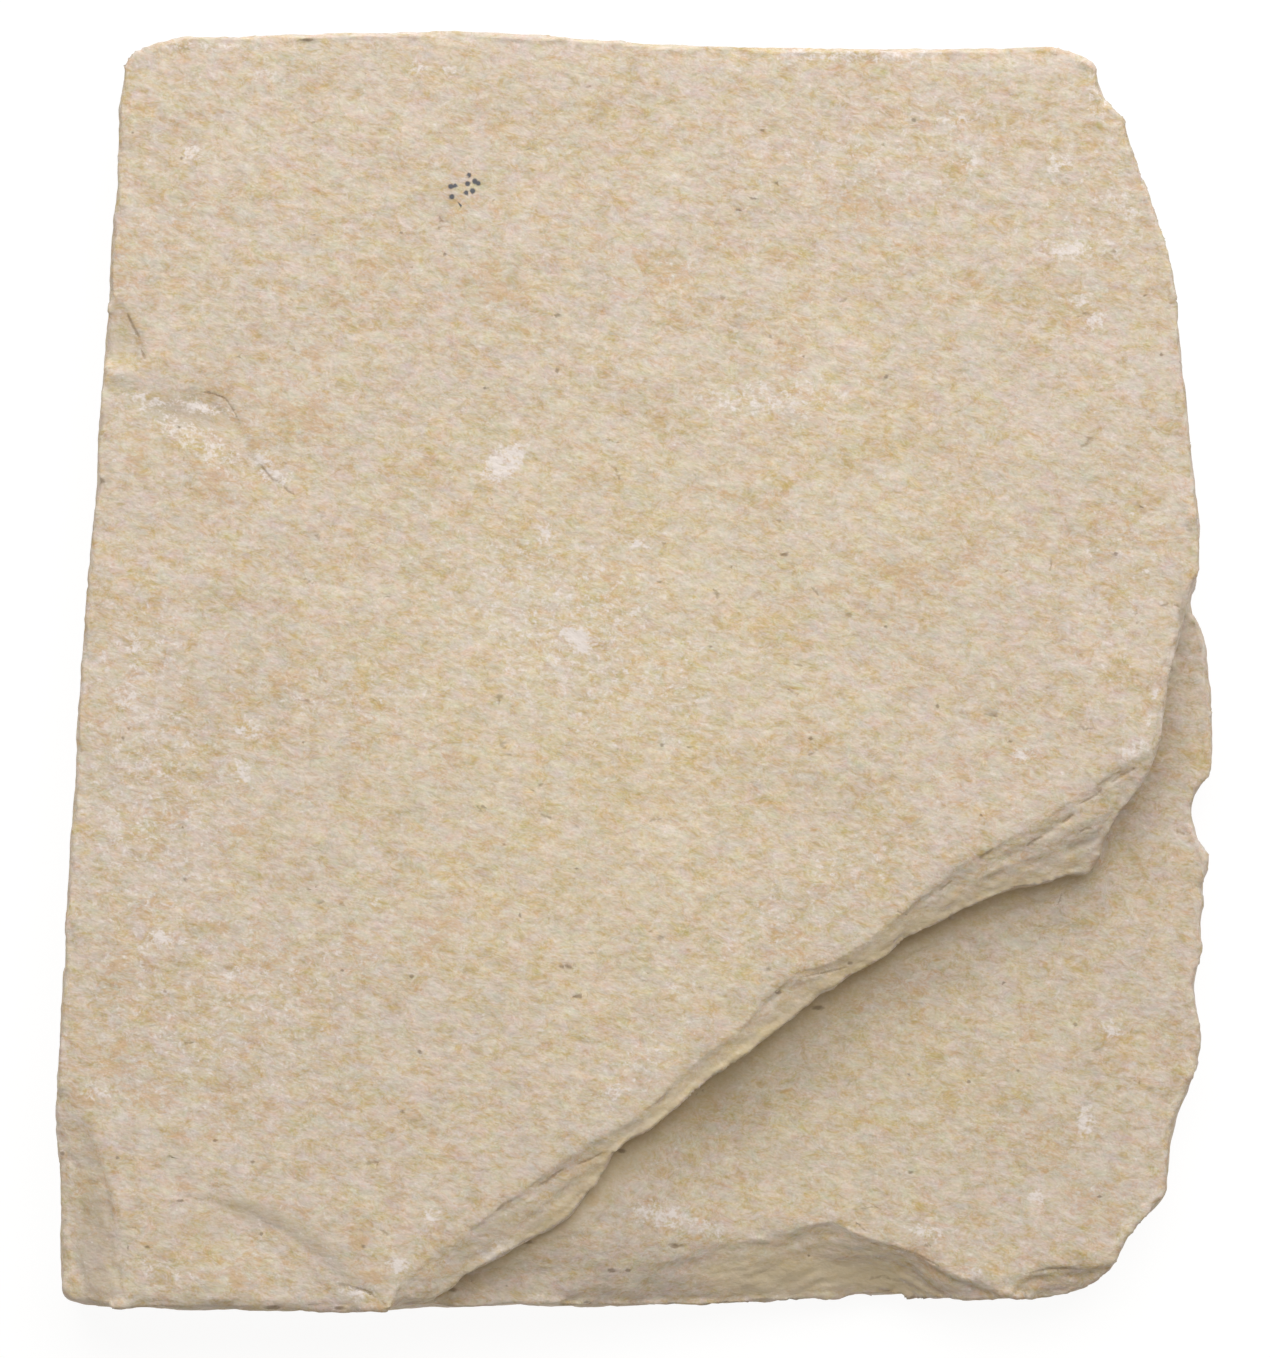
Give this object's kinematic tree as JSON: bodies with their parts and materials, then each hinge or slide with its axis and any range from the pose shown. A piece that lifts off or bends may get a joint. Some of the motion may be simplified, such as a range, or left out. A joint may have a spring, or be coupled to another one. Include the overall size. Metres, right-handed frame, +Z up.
{
  "type": "split limestone slab",
  "caption": "Flat plate of pale bedded limestone with split faces and a broken, overhanging step down to a lower bed at one corner; rests on its flat underside.",
  "frame": {"origin": "under the middle of the slab, on its flat underside", "axes": "+Z up, out of the split upper face; +Y along the slab's long side; +X to the side where the upper bed is broken away"},
  "size_m": [0.1274, 0.1408, 0.0163],
  "materials": {
    "stone": "matte, fine-grained, split"
  },
  "bodies": {
    "root": {"stone_slab": "stone"}
  },
  "joints": []
}
